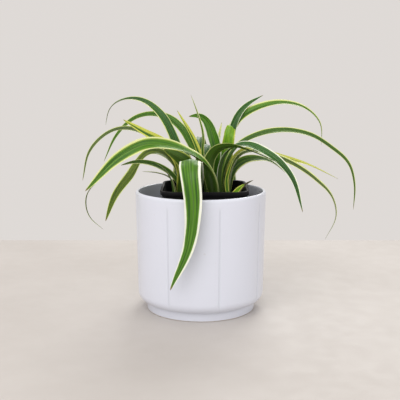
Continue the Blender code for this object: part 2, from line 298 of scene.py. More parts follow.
bm = bmesh.new()
bmesh.ops.create_cube(bm, size=1.0)
depth = TABLE_BACK - TABLE_FRONT
bmesh.ops.scale(bm, verts=bm.verts, vec=Vector((TABLE_WIDTH, depth, TABLE_THICKNESS)) * MM)
middle = Vector((0, TABLE_FRONT + depth / 2, -TABLE_THICKNESS / 2)) * MM
bmesh.ops.translate(bm, verts=bm.verts, vec=middle)
table = finish_piece("table", bm, 30)

material, tree, shader = start_material("pale_table")
texture = use_group(tree, grain, Broad_Scale=9.0, Fine_Scale=60.0)
color = blend(tree, ease(tree, texture["Mottle"], 0.3, 0.7), *TABLE_COLORS)
plug(tree, color, shader.inputs["Base Color"])
plug(tree, ease(tree, texture["Fine"], 0.3, 0.7, *TABLE_ROUGHNESS), shader.inputs["Roughness"])
table.data.materials.append(material)

# %% World and lamps
LAMPS_AIM_HEIGHT = 110

scene.view_settings.view_transform = "Standard"
world = bpy.data.worlds.new("air")
world.use_nodes = True
background = world.node_tree.nodes["Background"]
background.inputs["Color"].default_value = WALL_COLOR
background.inputs["Strength"].default_value = 1.0
scene.world = world


def add_lamp(name, place, size, power, color=(1, 1, 1)):
    """Square soft lamp at place, in millimetres, aimed at the middle of the plant."""
    data = bpy.data.lights.new(name, "AREA")
    data.size = size * MM
    data.energy = power
    data.color = color
    lamp = bpy.data.objects.new(name, data)
    lamp.location = Vector(place) * MM
    aim = Vector((0, 0, LAMPS_AIM_HEIGHT)) * MM - lamp.location
    lamp.rotation_euler = aim.to_track_quat("-Z", "Y").to_euler()
    scene.collection.objects.link(lamp)


add_lamp("window_lamp", (-450, -1300, 1250), 1500, 17, (1.0, 0.99, 0.97))
add_lamp("fill_lamp", (1300, -700, 700), 900, 2, (0.94, 0.97, 1.0))
add_lamp("back_lamp", (300, 1200, 1100), 800, 10, (1.0, 1.0, 0.97))

# %% [markdown]
# ## Stripes of a leaf, a shared effect
# A spider plant leaf is green along its middle and pale along its edges, with
# fine parallel veins from root to tip. The pale margins keep nearly the same
# width along the blade, so they take a larger share of it near the tip, and
# their inner line wanders a little. All of this follows the blade, not the
# room, so the group works from three numbers that the mesh carries: how far
# across the blade a point is, from -1 to 1, how far along it is, from 0 to 1,
# and whether it lies on the under face, which is painted a darker olive as shade.

# %% Blade stripes group
STREAKS_ACROSS = 5.0
STREAKS_ALONG = 3.0
FIBRES_ACROSS = 26.0
FIBRES_ALONG = 5.0
VEIN_WAVES = 34.0
WANDERS_ACROSS = 0.4
WANDERS_ALONG = 7.0
WANDER = 0.05
MARGIN_AT_ROOT = 0.8
MARGIN_GAIN = 0.9
PALE_EDGE = 0.03, 0.05
LIME_EDGE = 0.06, 0.02
MIDRIB_HALF_WIDTH = 0.02, 0.09
MIDRIB_TINT = 0.15
# Painted shade near the crown, where the leaves crowd and shade each other: the lower blade is darkened
# towards a deep green.
ROOT_SHADE_FROM = 0.05
ROOT_SHADE_TO = 0.30
ROOT_SHADE_STRENGTH = 0.85
ROOT_SHADE_GREEN = (0.022, 0.060, 0.008, 1.0)
TIP_DRY_FROM = 0.965
TIP_DRY_TO = 0.995
TIP_DRYNESS = 0.8
TIP_BROWN = (0.22, 0.13, 0.05, 1.0)
UNDER_SHADE_SHARE = 0.6
UNDER_SHADE_GREEN = (0.045, 0.085, 0.010, 1.0)
LEAF_ROUGHNESS = 0.32, 0.48

stripes, given, result = start_group(
    "blade_stripes",
    [
        ("Across", "Float", 0.0), ("Along", "Float", 0.0),
        ("Under", "Float", 0.0), ("Seed", "Float", 0.0),
        ("First Margin", "Float", 0.1), ("Second Margin", "Float", 0.1), ("Lime Band", "Float", 0.05),
        ("Green", "Color", (0.06, 0.19, 0.02, 1)), ("Deep Green", "Color", (0.02, 0.09, 0.015, 1)),
        ("Lime", "Color", (0.30, 0.42, 0.05, 1)), ("Margin", "Color", (0.8, 0.83, 0.5, 1)),
    ],
    [("Color", "Color"), ("Roughness", "Float"), ("Height", "Float")],
)


def stretched_place(tree, across_times, along_times, shift):
    """Texture place that is fine across the blade and long along it."""
    x = calc(tree, "MULTIPLY", given["Across"], across_times)
    y = calc(tree, "MULTIPLY", given["Along"], along_times)
    return combine(tree, x, y, calc(tree, "ADD", given["Seed"], shift))


def margin_masks(tree, side, share, shift):
    """Masks of one pale margin and of the lime band inside it. side is 1 or -1."""
    rise = calc(tree, "POWER", given["Along"], 2.0)
    widening = calc(tree, "MULTIPLY_ADD", rise, MARGIN_GAIN, MARGIN_AT_ROOT)
    width = calc(tree, "MULTIPLY", calc(tree, "MULTIPLY", share, 2.0), widening)
    swell = cloud(tree, stretched_place(tree, WANDERS_ACROSS, WANDERS_ALONG, shift), 1.0, 3.0)
    wander = ease(tree, swell, 0.25, 0.75, -WANDER, WANDER)
    edge = calc(tree, "ADD", calc(tree, "SUBTRACT", 1.0, width), wander)
    reach = calc(tree, "MULTIPLY", given["Across"], side)
    before, after = PALE_EDGE
    pale = ease(tree, reach, calc(tree, "SUBTRACT", edge, before), calc(tree, "ADD", edge, after))
    inner = calc(tree, "SUBTRACT", edge, calc(tree, "MULTIPLY", given["Lime Band"], 2.0))
    before, after = LIME_EDGE
    lime = ease(tree, reach, calc(tree, "SUBTRACT", inner, before), calc(tree, "ADD", edge, after))
    return pale, lime


tree = stripes
streaks = cloud(tree, stretched_place(tree, STREAKS_ACROSS, STREAKS_ALONG, 0.0), 1.0, 4.0)
fibres = cloud(tree, stretched_place(tree, FIBRES_ACROSS, FIBRES_ALONG, 11.0), 1.0, 2.0)
veins = calc(tree, "SINE", calc(tree, "MULTIPLY", given["Across"], VEIN_WAVES))
greens = blend(tree, ease(tree, streaks, 0.36, 0.64), given["Green"], given["Deep Green"])
pale_a, lime_a = margin_masks(tree, 1, given["First Margin"], 23.0)
pale_b, lime_b = margin_masks(tree, -1, given["Second Margin"], 37.0)
pale = calc(tree, "MAXIMUM", pale_a, pale_b)
lime = calc(tree, "MAXIMUM", lime_a, lime_b)
lime_share = calc(tree, "MULTIPLY", lime, ease(tree, fibres, 0.3, 0.6, 0.55, 1.0))
color = blend(tree, lime_share, greens, given["Lime"])
pale_share = calc(tree, "MULTIPLY", pale, ease(tree, fibres, 0.25, 0.5, 0.82, 1.0))
color = blend(tree, pale_share, color, given["Margin"])
midrib = ease(tree, calc(tree, "ABSOLUTE", given["Across"]), *MIDRIB_HALF_WIDTH, 1.0, 0.0)
color = blend(tree, calc(tree, "MULTIPLY", midrib, MIDRIB_TINT), color, given["Lime"])
# Painted shade: the blade darkens to a deep green near the crown, with the fibres left a little paler.
root = ease(tree, given["Along"], ROOT_SHADE_FROM, ROOT_SHADE_TO, ROOT_SHADE_STRENGTH, 0.0)
root = calc(tree, "MULTIPLY", root, ease(tree, fibres, 0.45, 0.62, 1.0, 0.55))
color = blend(tree, root, color, ROOT_SHADE_GREEN)
tip = ease(tree, given["Along"], TIP_DRY_FROM, TIP_DRY_TO)
color = blend(tree, calc(tree, "MULTIPLY", tip, TIP_DRYNESS), color, TIP_BROWN)
# Painted shade: the under face of each blade is darkened towards a deep olive.
color = blend(tree, calc(tree, "MULTIPLY", given["Under"], UNDER_SHADE_SHARE), color, UNDER_SHADE_GREEN)
plug(tree, color, result["Color"])
plug(tree, ease(tree, streaks, 0.2, 0.8, *LEAF_ROUGHNESS), result["Roughness"])
ridges = calc(tree, "MULTIPLY_ADD", veins, 0.35, calc(tree, "MULTIPLY", fibres, 0.6))
plug(tree, calc(tree, "SUBTRACT", ridges, midrib), result["Height"])
print("stripe group nodes:", len(stripes.nodes))

# %% [markdown]
# ## Colours of the leaves
# No two leaves of the plant are quite the same: young ones are bright and old
# ones deep green. For those with the light behind them, the look of that light
# is painted in as an olive green. Each leaf picks one green and one margin
# colour from these short lists, and says how much of its width each margin takes.

# %% Leaf palette
GREENS = {
    "deep": ((0.044, 0.150, 0.022, 1), (0.013, 0.058, 0.010, 1)),
    "leaf": ((0.092, 0.245, 0.010, 1), (0.026, 0.098, 0.006, 1)),
    "moss": ((0.066, 0.160, 0.012, 1), (0.020, 0.066, 0.006, 1)),
    # Painted light: the olive stands for a leaf lit from behind.
    "olive": ((0.140, 0.205, 0.015, 1), (0.050, 0.092, 0.008, 1)),
    "bright": ((0.210, 0.410, 0.010, 1), (0.090, 0.240, 0.005, 1)),
    "grey": ((0.120, 0.180, 0.040, 1), (0.050, 0.086, 0.022, 1)),
    "straw": ((0.150, 0.110, 0.060, 1), (0.050, 0.038, 0.022, 1)),
}
MARGINS = {
    "white": (0.88, 0.91, 0.76, 1),
    "cream": (0.74, 0.79, 0.36, 1),
    "yellow": (0.64, 0.67, 0.11, 1),
}
LIMES = {
    "white": (0.34, 0.47, 0.16, 1),
    "cream": (0.36, 0.47, 0.07, 1),
    "yellow": (0.42, 0.47, 0.05, 1),
}
VEIN_RELIEF = 0.12
LEAF_SHEEN_LEVEL = 0.32
LEAF_GLOW = 0.12
LEAF_GLOW_REACH = 1.2 * MM, 1.6 * MM, 0.4 * MM


def leaf_material(leaf, seed):
    material, tree, shader = start_material(leaf.name + "_skin")
    green, deep = GREENS[leaf.green]
    made = use_group(
        tree, stripes, Across=read_attribute(tree, "across"), Along=read_attribute(tree, "along"),
        Under=read_attribute(tree, "under"), Seed=seed, First_Margin=leaf.first,
        Second_Margin=leaf.second, Lime_Band=leaf.lime, Green=green, Deep_Green=deep,
        Lime=LIMES[leaf.margin], Margin=MARGINS[leaf.margin])
    plug(tree, made["Color"], shader.inputs["Base Color"])
    plug(tree, made["Roughness"], shader.inputs["Roughness"])
    add_bump(tree, shader, made["Height"], VEIN_RELIEF, 0.7)
    shader.inputs["Specular IOR Level"].default_value = LEAF_SHEEN_LEVEL
    shader.inputs["Subsurface Weight"].default_value = LEAF_GLOW
    shader.inputs["Subsurface Radius"].default_value = LEAF_GLOW_REACH
    shader.inputs["Subsurface Scale"].default_value = 1.0
    return material


# %% [markdown]
# ## The shape of a leaf
# A blade is a long thin ribbon, folded along its midrib like a gutter: nearly
# shut where it wraps the crown, wide open in the middle, and drawn out to a
# fine tip. It could be a curve with a bevel, but a bevel can't open the fold
# or thin the edges. So the midrib is a smooth route through a few chosen
# points, and at every millimetre or two along it a folded section is placed,
# turned by the leaf's own twist. The edges ripple by a fraction of a
# millimetre, because no leaf lies quite flat. Where a broad blade bends sharply
# over its face, its gutter can't stay folded, so it opens into a slight dome.

# %% Blade route
RING_SPACING = 1.6
ROUTE_SAMPLES = 40
RELAX_PASSES = 12


def route_tangents(points):
    steps = [after - before for before, after in zip(points, points[1:])]
    tangents = [steps[0].normalized()]
    for before, after in zip(steps, steps[1:]):
        mixed = before / before.length_squared + after / after.length_squared
        tangents.append(mixed.normalized())
    tangents.append(steps[-1].normalized())
    return tangents


def smooth_route(points):
    tangents = route_tangents(points)
    samples = []
    for i in range(len(points) - 1):
        start, end = points[i], points[i + 1]
        reach = (end - start).length / 3
        handles = start + tangents[i] * reach, end - tangents[i + 1] * reach
        samples.extend(interpolate_bezier(start, *handles, end, ROUTE_SAMPLES + 1)[:-1])
    samples.append(points[-1])
    return samples


def even_stations(samples, count):
    lengths = [0.0]
    for before, after in zip(samples, samples[1:]):
        lengths.append(lengths[-1] + (after - before).length)
    stations = []
    span = 0
    for i in range(count + 1):
        target = lengths[-1] * i / count
        while span < len(samples) - 2 and lengths[span + 1] < target:
            span += 1
        share = (target - lengths[span]) / (lengths[span + 1] - lengths[span])
        stations.append(samples[span].lerp(samples[span + 1], share))
    return stations


def relax(stations):
    """Even out the bends by moving each inner station towards its neighbours."""
    for _ in range(RELAX_PASSES):
        middle = [(a + b * 2 + c) / 4 for a, b, c in zip(stations, stations[1:], stations[2:])]
        stations = [stations[0]] + middle + [stations[-1]]
    return stations


def blade_frames(stations, heading):
    """Midrib direction, across direction and face normal at each station, without spin."""
    across = Vector((-heading.y, heading.x, 0)).normalized()
    frames = []
    previous = None
    for i in range(len(stations)):
        along = (stations[min(i + 1, len(stations) - 1)] - stations[max(i - 1, 0)]).normalized()
        if previous is not None:
            across = previous.rotation_difference(along) @ across
        across = (across - along * across.dot(along)).normalized()
        frames.append((along, across, along.cross(across)))
        previous = along
    return frames


# %% Blade section
FACE_STEPS = 12
BASE_FOLD = math.radians(58)
BLADE_FOLD = math.radians(20)
BASE_WIDTH_SHARE = 0.5
WIDEST_AT = 0.4
TAPER_START = 2.3
TAPER_BLUNTNESS = 0.7
MIDRIB_THICKNESS = 0.55
EDGE_THICKNESS = 0.10
THINNING = 0.7
TIP_THICKNESS_SHARE = 0.25
TIP_THINNING = 3
GUTTER_ROUNDING = 0.012
GUTTER_RISE = 0.11
EDGE_DROOP = 0.06
RIPPLE = 0.035
RIPPLES_ALONG = 9
EDGES_APART = 3.0
# Bends are in radians to a millimetre, and reaches are in stations.
BROAD_BLADE = 15.0
BEND_REACH = 3
BEND_SPREAD = 5
GENTLE_BEND = 0.033
SHARP_BEND = 0.055
FOLD_AT_SHARP_BEND = -0.6


def blade_width(share):
    rise = 1.0 - max(0.0, 1.0 - share / WIDEST_AT) ** 2 * (1.0 - BASE_WIDTH_SHARE)
    return rise * (1.0 - share ** TAPER_START) ** TAPER_BLUNTNESS


def blade_fold(share):
    return BLADE_FOLD + (BASE_FOLD - BLADE_FOLD) * max(0.0, 1.0 - share / WIDEST_AT) ** 2


def fold_shares(leaf, frames):
    """Share of the usual fold at each station: 1, and less where a broad face bends sharply."""
    if leaf.width < BROAD_BLADE:
        return [1.0] * len(frames)
    last = len(frames) - 1
    bends = []
    for i, (along, across, _) in enumerate(frames):
        before, after = max(i - BEND_REACH, 0), min(i + BEND_REACH, last)
        hinge = frames[before][0].cross(frames[after][0])
        across = Quaternion(along, twist_at(leaf.twist, i / last)) @ across
        bends.append(abs(hinge.dot(across)) / ((after - before) * RING_SPACING))
    shares = []
    for i in range(len(frames)):
        nearby = bends[max(i - BEND_SPREAD, 0):i + BEND_SPREAD + 1]
        sharpness = smooth_step(sum(nearby) / len(nearby), GENTLE_BEND, SHARP_BEND)
        shares.append(1.0 + (FOLD_AT_SHARP_BEND - 1.0) * sharpness)
    return shares


def twist_at(twist, share):
    """Twist in radians, eased between the values given at even steps."""
    place = share * (len(twist) - 1)
    index = min(int(place), len(twist) - 2)
    step = place - index
    gain = twist[index + 1] - twist[index]
    return math.radians(twist[index] + gain * (0.5 * step + 0.5 * smooth_step(step)))


def blade_section(leaf, share, station, frame, fold_share, seed):
    """Ring of (point, across, under): over the upper face, then back under it."""
    along, across, normal = frame
    turn = Quaternion(along, twist_at(leaf.twist, share))
    across, normal = turn @ across, turn @ normal
    half = leaf.width / 2 * blade_width(share)
    fold = blade_fold(share) * fold_share
    ring = []
    for step in range(2 * FACE_STEPS):
        under = step > FACE_STEPS
        u = 1 - 2 * step / FACE_STEPS if step <= FACE_STEPS else 2 * step / FACE_STEPS - 3
        rounded = math.sqrt(u * u + GUTTER_ROUNDING) - GUTTER_RISE
        swell = noise.noise(Vector((share * RIPPLES_ALONG, math.copysign(EDGES_APART, u), seed)))
        droop = 1 + EDGE_DROOP - EDGE_DROOP * u * u
        lift = half * (math.sin(fold) * rounded * droop + RIPPLE * u * u * swell)
        thickness = EDGE_THICKNESS + (MIDRIB_THICKNESS - EDGE_THICKNESS) * (1 - abs(u)) ** THINNING
        thickness *= min(1.0, TIP_THICKNESS_SHARE + TIP_THINNING * (1 - share))
        face = 0.0 if step in (0, FACE_STEPS) else thickness / 2
        lift += -face if under else face
        point = station + across * (half * math.cos(fold) * u) + normal * lift
        ring.append((point, u, 1.0 if under else 0.0))
    return ring


# %% Whole leaf
SOIL_HEIGHT = 101.0

Leaf = namedtuple("Leaf", "name width route twist green margin first second lime")


def make_blade(leaf, seed):
    """One leaf, from its root at the potting mix to its tip, and its length."""
    points = [Vector((*leaf.route[0], SOIL_HEIGHT))] + [Vector(point) for point in leaf.route[1:]]
    samples = smooth_route(points)
    length = sum((after - before).length for before, after in zip(samples, samples[1:]))
    count = round(length / RING_SPACING)
    stations = relax(even_stations(samples, count))
    frames = blade_frames(stations, points[len(points) // 2] - points[0])
    folds = fold_shares(leaf, frames)
    bm = bmesh.new()
    across, along, under = [], [], []
    rings = []
    for i in range(count):
        section = blade_section(leaf, i / count, stations[i], frames[i], folds[i], seed)
        rings.append(add_ring(bm, [point for point, _, _ in section]))
        across.extend(u for _, u, _ in section)
        under.extend(below for _, _, below in section)
        along.extend([i / count] * len(section))
    for lower, upper in zip(rings, rings[1:]):
        join_rings(bm, lower, upper)
    bm.faces.new(rings[0])
    tip = bm.verts.new(stations[-1] * MM)
    end = rings[-1]
    for i in range(len(end)):
        bm.faces.new((end[i], end[(i + 1) % len(end)], tip))
    piece = finish_piece(leaf.name.replace("leaf_", "") + "_blade", bm, 80)
    for name, values, last in (("across", across, 0.0), ("along", along, 1.0), ("under", under, 0.0)):
        set_attribute(piece.data, name, values + [last])
    piece.data.materials.append(leaf_material(leaf, seed))
    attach(piece, "root")
    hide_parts(leaf.name)
    return piece, length


# %% [markdown]
# ## The leaves
# Each entry below is one leaf: its name, its greatest width, the route of its
# midrib from root to tip, how far it is turned about the midrib at even steps,
# its green, its margin colour, the share of its width that each margin takes,
# and the share of the lime band inside them. The first margin is on the left
# for someone looking out along the leaf from the crown. Lengths are in
# millimetres and turns in degrees. Routes are listed, because chance
# can't lay out a plant that has to look like one particular plant.

# %% Leaf table
LEFT_LEAVES = (
    Leaf("leaf_front_fold", 20.0,
         ((-4, -20), (-4, -30, 125), (-9, -47, 145), (-9, -61, 137), (-6, -68, 107), (-9, -70, 75),
          (-26, -71, 35)),
         (0, 0, -5, 0, 15, 20, 20),
         "leaf", "white", 0.13, 0.08, 0.02),
    Leaf("leaf_front_clasp", 20.0,
         ((-17, -14), (-12, -18, 125), (-14, -31, 140), (-32, -39, 152)),
         (0, 10, 20, 20),
         "moss", "yellow", 0.03, 0.03, 0.06),
    Leaf("leaf_left_high", 10.0,
         ((-13, 8), (-17, 10, 132), (-26, 13, 159), (-38, 17, 180), (-60, 22, 193), (-85, 27, 185),
          (-90, 28, 168)),
         (-10, -40, -50, -50, -30, -10, 0),
         "deep", "cream", 0.10, 0.05, 0.03),
    Leaf("leaf_left_straight", 11.0,
         ((-20, -2), (-22, -1, 140), (-34, 1, 154), (-50, 2, 163), (-71, 3, 175)),
         (-10, -45, -70, -75, -70),
         "leaf", "yellow", 0.14, 0.30, 0.05),
    Leaf("leaf_left_outer_arch", 9.0,
         ((-21, 10), (-25, 16, 136), (-42, 20, 154), (-75, 26, 165), (-105, 34, 145), (-115, 40, 113)),
         (0, -15, -20, -30, -50, -60),
         "grey", "cream", 0.05, 0.06, 0.05),
    Leaf("leaf_left_low", 9.0,
         ((-19, -8), (-23, -9, 121), (-45, -11, 136), (-58, -13, 138), (-72, -15, 135)),
         (0, -30, -40, -45, -45),
         "moss", "cream", 0.10, 0.05, 0.05),
    Leaf("leaf_left_droop", 14.0,
         ((-21, 4), (-22, 6, 126), (-30, 7, 139), (-43, 8, 145), (-66, 8, 122), (-80, 7, 104),
          (-89, 4, 80)),
         (0, -15, -20, -25, -60, -80, -80),
         "olive", "cream", 0.05, 0.06, 0.05),
    Leaf("leaf_left_curl", 8.0,
         ((-15, 14), (-22, 20, 128), (-36, 26, 145), (-53, 32, 149), (-80, 43, 133), (-101, 52, 112),
          (-114, 58, 96), (-112, 56, 76), (-97, 53, 62)),
         (0, -30, -50, -45, -30, -15, -10),
         "grey", "cream", 0.08, 0.08, 0.06),
    Leaf("leaf_left_short", 6.0,
         ((-23, -1), (-28, -1, 122), (-37, -2, 126), (-54, -3, 128)),
         (0, 0, 0),
         "grey", "cream", 0.18, 0.18, 0.08),
    Leaf("leaf_left_inner", 6.0,
         ((-25, -15), (-27, -18, 123), (-32, -20, 132), (-41, -21, 138)),
         (0, -20, -20),
         "deep", "cream", 0.06, 0.06, 0.05),
)

RIGHT_LEAVES = (
    Leaf("leaf_left_rear_arch", 10.0,
         ((4, 16), (0, 18, 133), (-9, 21, 150), (-17, 24, 164), (-29, 30, 174), (-47, 36, 178),
          (-63, 43, 174), (-81, 50, 158), (-96, 57, 130)),
         (-10, -35, -40, -40, -35, -50, -60, -60),
         "leaf", "cream", 0.05, 0.06, 0.05),
    Leaf("leaf_left_broad", 18.0,
         ((13, -26), (10, -27, 125), (2, -25, 138), (-12, -19, 147), (-30, -17, 153), (-50, -20, 154),
          (-68, -23, 146), (-102, -32, 114)),
         (0, 10, -10, -35, -65, -70, -60),
         "leaf", "cream", 0.08, 0.10, 0.08),
    Leaf("leaf_centre_striped", 6.0,
         ((7, 3), (2, 5, 132), (-5, 9, 154), (-22, 14, 183)),
         (-20, -45, -60, -60),
         "leaf", "yellow", 0.10, 0.42, 0.05),
    Leaf("leaf_centre_upright", 6.0,
         ((6, -7), (3, -7, 129), (1, -8, 147), (2, -9, 160), (-3, -10, 181), (-9, -10, 198)),
         (-30, -60, -60, -50),
         "leaf", "cream", 0.18, 0.18, 0.08),
    Leaf("leaf_centre_hook", 15.0,
         ((12, 0), (12, 0, 130), (13, 0, 150), (10, 0, 163), (6, 0, 173), (0, -1, 179), (-11, -4, 178)),
         (-20, -30, -35, -50, -80, -85, -60),
         "leaf", "white", 0.02, 0.05, 0.03),
    Leaf("leaf_centre_pale", 6.0,
         ((13, 15), (15, 18, 131), (16, 22, 150), (20, 30, 171)),
         (0, 20, 20),
         "leaf", "cream", 0.36, 0.26, 0.08),
    Leaf("leaf_centre_bright", 15.0,
         ((20, 10), (22, 10, 132), (25, 10, 150), (27, 11, 163), (29, 14, 170), (30, 17, 165),
          (29, 18, 152)),
         (70, 80, 85),
         "bright", "yellow", 0.02, 0.05, 0.04),
    Leaf("leaf_right_rise", 10.5,
         ((22, 20), (23, 23, 130), (27, 26, 151), (32, 29, 172), (40, 33, 184), (60, 40, 196)),
         (20, 35, 50, 65, 50, 10),
         "deep", "white", 0.07, 0.04, 0.03),
    Leaf("leaf_right_high", 11.0,
         ((22, 29), (23, 31, 131), (27, 34, 156), (35, 34, 172), (59, 34, 186), (80, 35, 189),
          (101, 36, 183), (114, 36, 170), (116, 37, 148)),
         (30, 45, 50, 45, 35, 25, 20, 15),
         "leaf", "cream", 0.14, 0.08, 0.10),
    Leaf("leaf_right_long", 9.5,
         ((22, -1), (24, -1, 133), (34, 0, 151), (47, 0, 159), (80, 1, 165), (100, 1, 161),
          (120, 2, 149), (136, 3, 135), (142, 3, 116), (142, 3, 91)),
         (0, 25, 35, 35, 45, 50),
         "moss", "cream", 0.09, 0.08, 0.04),
    Leaf("leaf_right_broad", 11.5,
         ((20, -8), (19, -9, 131), (23, -11, 145), (30, -15, 152), (41, -20, 154), (54, -26, 150),
          (68, -32, 141), (79, -37, 128), (89, -42, 97)),
         (-10, 0, 15, 35, 45, 45, 40),
         "deep", "white", 0.10, 0.07, 0.02),
    Leaf("leaf_right_under", 12.0,
         ((12, -13), (8, -13, 122), (7, -13, 136), (12, -16, 147), (26, -25, 153), (40, -33, 151),
          (68, -42, 140)),
         (0, 0, 10, 20, 35, 50, 60),
         "moss", "cream", 0.04, 0.03, 0.03),
    Leaf("leaf_right_curl", 9.0,
         ((28, -7), (30, -8, 134), (37, -6, 144), (53, -4, 146), (70, -4, 141), (91, -4, 131),
          (107, -4, 119), (119, -4, 107), (125, -4, 88), (115, -4, 64)),
         (0, 10, 30, 45, 45, 30, 20),
         "grey", "cream", 0.14, 0.14, 0.05),
    Leaf("leaf_right_yellow", 9.0,
         ((27, 3), (28, 3, 133), (38, 5, 145), (56, 12, 145), (71, 16, 140), (99, 23, 132),
          (133, 31, 116)),
         (0, 10, 40, 45, 20, 10),
         "olive", "yellow", 0.34, 0.36, 0.05),
    Leaf("leaf_right_low", 10.0,
         ((29, 14), (28, 16, 120), (32, 20, 129), (41, 25, 135), (54, 31, 136), (68, 38, 132),
          (89, 50, 115)),
         (0, 30, 50, 40, 20, 10, 0),
         "moss", "cream", 0.06, 0.12, 0.04),
    Leaf("leaf_right_inner", 4.0,
         ((26, -19), (23, -17, 124), (26, -18, 134), (30, -19, 146)),
         (0, 20, 30),
         "leaf", "yellow", 0.12, 0.12, 0.10),
    Leaf("leaf_right_young", 8.0,
         ((25, -26), (29, -27, 108), (33, -28, 115), (39, -29, 120)),
         (10, 50, 50),
         "bright", "yellow", 0.12, 0.12, 0.06),
    Leaf("dry_sheath", 5.0,
         ((33, -10), (36, -10, 112), (42, -10, 118), (48, -10, 121)),
         (0, 30, 30),
         "straw", "cream", 0.00, 0.00, 0.00),
)

BACK_LEAVES = (
    Leaf("leaf_back_left", 12.0,
         ((-9, 16), (-12, 23, 122), (-15, 36, 137), (-17, 53, 142), (-21, 70, 134), (-30, 94, 84)),
         (0, 5, 10, 10),
         "leaf", "cream", 0.14, 0.12, 0.05),
    Leaf("leaf_back_long", 8.0,
         ((-3, 21), (-2, 27, 130), (-1, 40, 147), (-1, 55, 154), (2, 76, 148), (6, 95, 128),
          (9, 110, 68)),
         (0, 0, 5, 5),
         "deep", "cream", 0.04, 0.04, 0.04),
    Leaf("leaf_back_centre", 8.0,
         ((7, 21), (5, 28, 128), (5, 40, 142), (8, 54, 147), (12, 70, 140), (20, 93, 90)),
         (0, 0, -5, -5),
         "deep", "cream", 0.04, 0.04, 0.04),
    Leaf("leaf_back_right", 11.0,
         ((11, 32), (14, 37, 119), (18, 47, 129), (24, 58, 132), (29, 70, 125), (37, 88, 82)),
         (0, -5, -10, -10),
         "leaf", "white", 0.15, 0.12, 0.04),
)
print("leaves:", len(LEFT_LEAVES), len(RIGHT_LEAVES), len(BACK_LEAVES))

# %% [markdown]
# ## Growing the plant
# One loop makes every leaf. The seed is the leaf's number, so each leaf gets
# streaks and ripples of its own, and the same ones each time.

# %% Leaves
for seed, leaf in enumerate(LEFT_LEAVES + RIGHT_LEAVES + BACK_LEAVES):
    blade, length = make_blade(leaf, seed)
    print(blade.name, "is", round(length), "mm long, in", len(blade.data.polygons), "faces")

# %% [markdown]
# ## The outer pot
# The outer pot is slip-cast and glazed: a round body with eight wide upright
# panels, each meeting the next in a shallow seam, a soft rim, and a shoulder
# that turns in to a plain foot. A lathe profile spun round the axis would give
# the body but not the seams, so each ring of the profile is drawn round all
# eight panels, and sinks a little wherever a seam passes through it.

# %% Outer pot shape
POT_HEIGHT = 110.7
RIM_RADIUS = 60.0
SHOULDER_RADIUS = 58.4
SHOULDER_HEIGHT = 17.5
UNDERCUT_RADIUS = 51.4
FOOT_RADIUS = 50.2
FOOT_HEIGHT = 7.6
FOOT_CHAMFER = 0.8
# The cove where the foot meets the shoulder, as steps outwards and upwards.
FOOT_COVE = (0.0, -1.4), (0.15, 0.0), (0.5, 0.8)
COVE_RISE = 1.2
RIM_ROUND = 1.9
RIM_ROUND_HEIGHT = 2.4
LIP_ROUND = 1.1
LIP_ROUND_HEIGHT = 1.3
WALL = 3.0
WALL_LEAN = 1.8
WALL_END = 22
POT_FLOOR = 8.5
FLOOR_CORNER = 7
FLOOR_CORNER_INSET = 2.7
WALL_STEPS = 16
INSIDE_STEPS = 8
PANELS = 8
PANEL_TURN = math.radians(16)
PANEL_STEPS = 30
# The panels start above the foot, and fade and then stop below the rim, by this much.
PANELS_START = 2
PANELS_FADE = 8
PANELS_STOP = 5.5
PANEL_PILLOW = 0.22
SEAM_DEPTH = 0.34
SEAM_HALF_WIDTH = 0.030
SEAM_CROWDING = 0.85
SEAM_POOL_AND_SHADE_WIDTH = 0.035


def arc(center_r, center_z, radius_r, radius_z, start, end, steps):
    """Points (radius, height) along an elliptical arc, angles in degrees."""
    points = []
    for i in range(steps + 1):
        angle = math.radians(start + (end - start) * i / steps)
        points.append((center_r + radius_r * math.cos(angle), center_z + radius_z * math.sin(angle)))
    return points


def panel_angles():
    """(angle, near) round the pot, near being the share of a panel to its nearest seam."""
    angles = []
    panel = 2 * math.pi / PANELS
    for index in range(PANELS):
        for step in range(PANEL_STEPS):
            share = step / PANEL_STEPS
            share -= SEAM_CROWDING * math.sin(2 * math.pi * share) / (2 * math.pi)
            angle = index * panel + PANEL_TURN - math.pi / 2 + share * panel
            angles.append((angle, min(share, 1 - share)))
    return angles


def seam_dip(near):
    """How far the wall sinks, near being the share of a panel to the nearest seam."""
    seam = SEAM_DEPTH * smooth_step(1 - near / SEAM_HALF_WIDTH)
    return seam + PANEL_PILLOW * (1 - 2 * near) ** 4


def outer_profile():
    """Foot to rim: radius, height and how strongly the panels show."""
    chamfer = arc(FOOT_RADIUS - FOOT_CHAMFER, FOOT_CHAMFER, FOOT_CHAMFER, FOOT_CHAMFER, -90, 0, 4)
    cove = [(FOOT_RADIUS + out, FOOT_HEIGHT + up) for out, up in FOOT_COVE]
    shoulder = arc(UNDERCUT_RADIUS, SHOULDER_HEIGHT, SHOULDER_RADIUS - UNDERCUT_RADIUS,
                   SHOULDER_HEIGHT - FOOT_HEIGHT - COVE_RISE, -80, 0, 14)
    body = []
    for i in range(1, WALL_STEPS + 1):
        up = i / WALL_STEPS
        body.append((SHOULDER_RADIUS + (RIM_RADIUS - SHOULDER_RADIUS) * up,
                     SHOULDER_HEIGHT + (POT_HEIGHT - PANELS_STOP - SHOULDER_HEIGHT) * up))
    rim = arc(RIM_RADIUS - RIM_ROUND, POT_HEIGHT - RIM_ROUND_HEIGHT, RIM_ROUND, RIM_ROUND_HEIGHT, 0, 90, 10)
    profile = [(r, z, 0.0) for r, z in chamfer + cove]
    start, fade, stop = FOOT_HEIGHT + PANELS_START, POT_HEIGHT - PANELS_FADE, POT_HEIGHT - PANELS_STOP
    profile += [(r, z, smooth_step(z, start, SHOULDER_HEIGHT)) for r, z in shoulder]
    profile += [(r, z, 1 - smooth_step(z, fade, stop)) for r, z in body]
    return profile + [(r, z, 0.0) for r, z in rim]


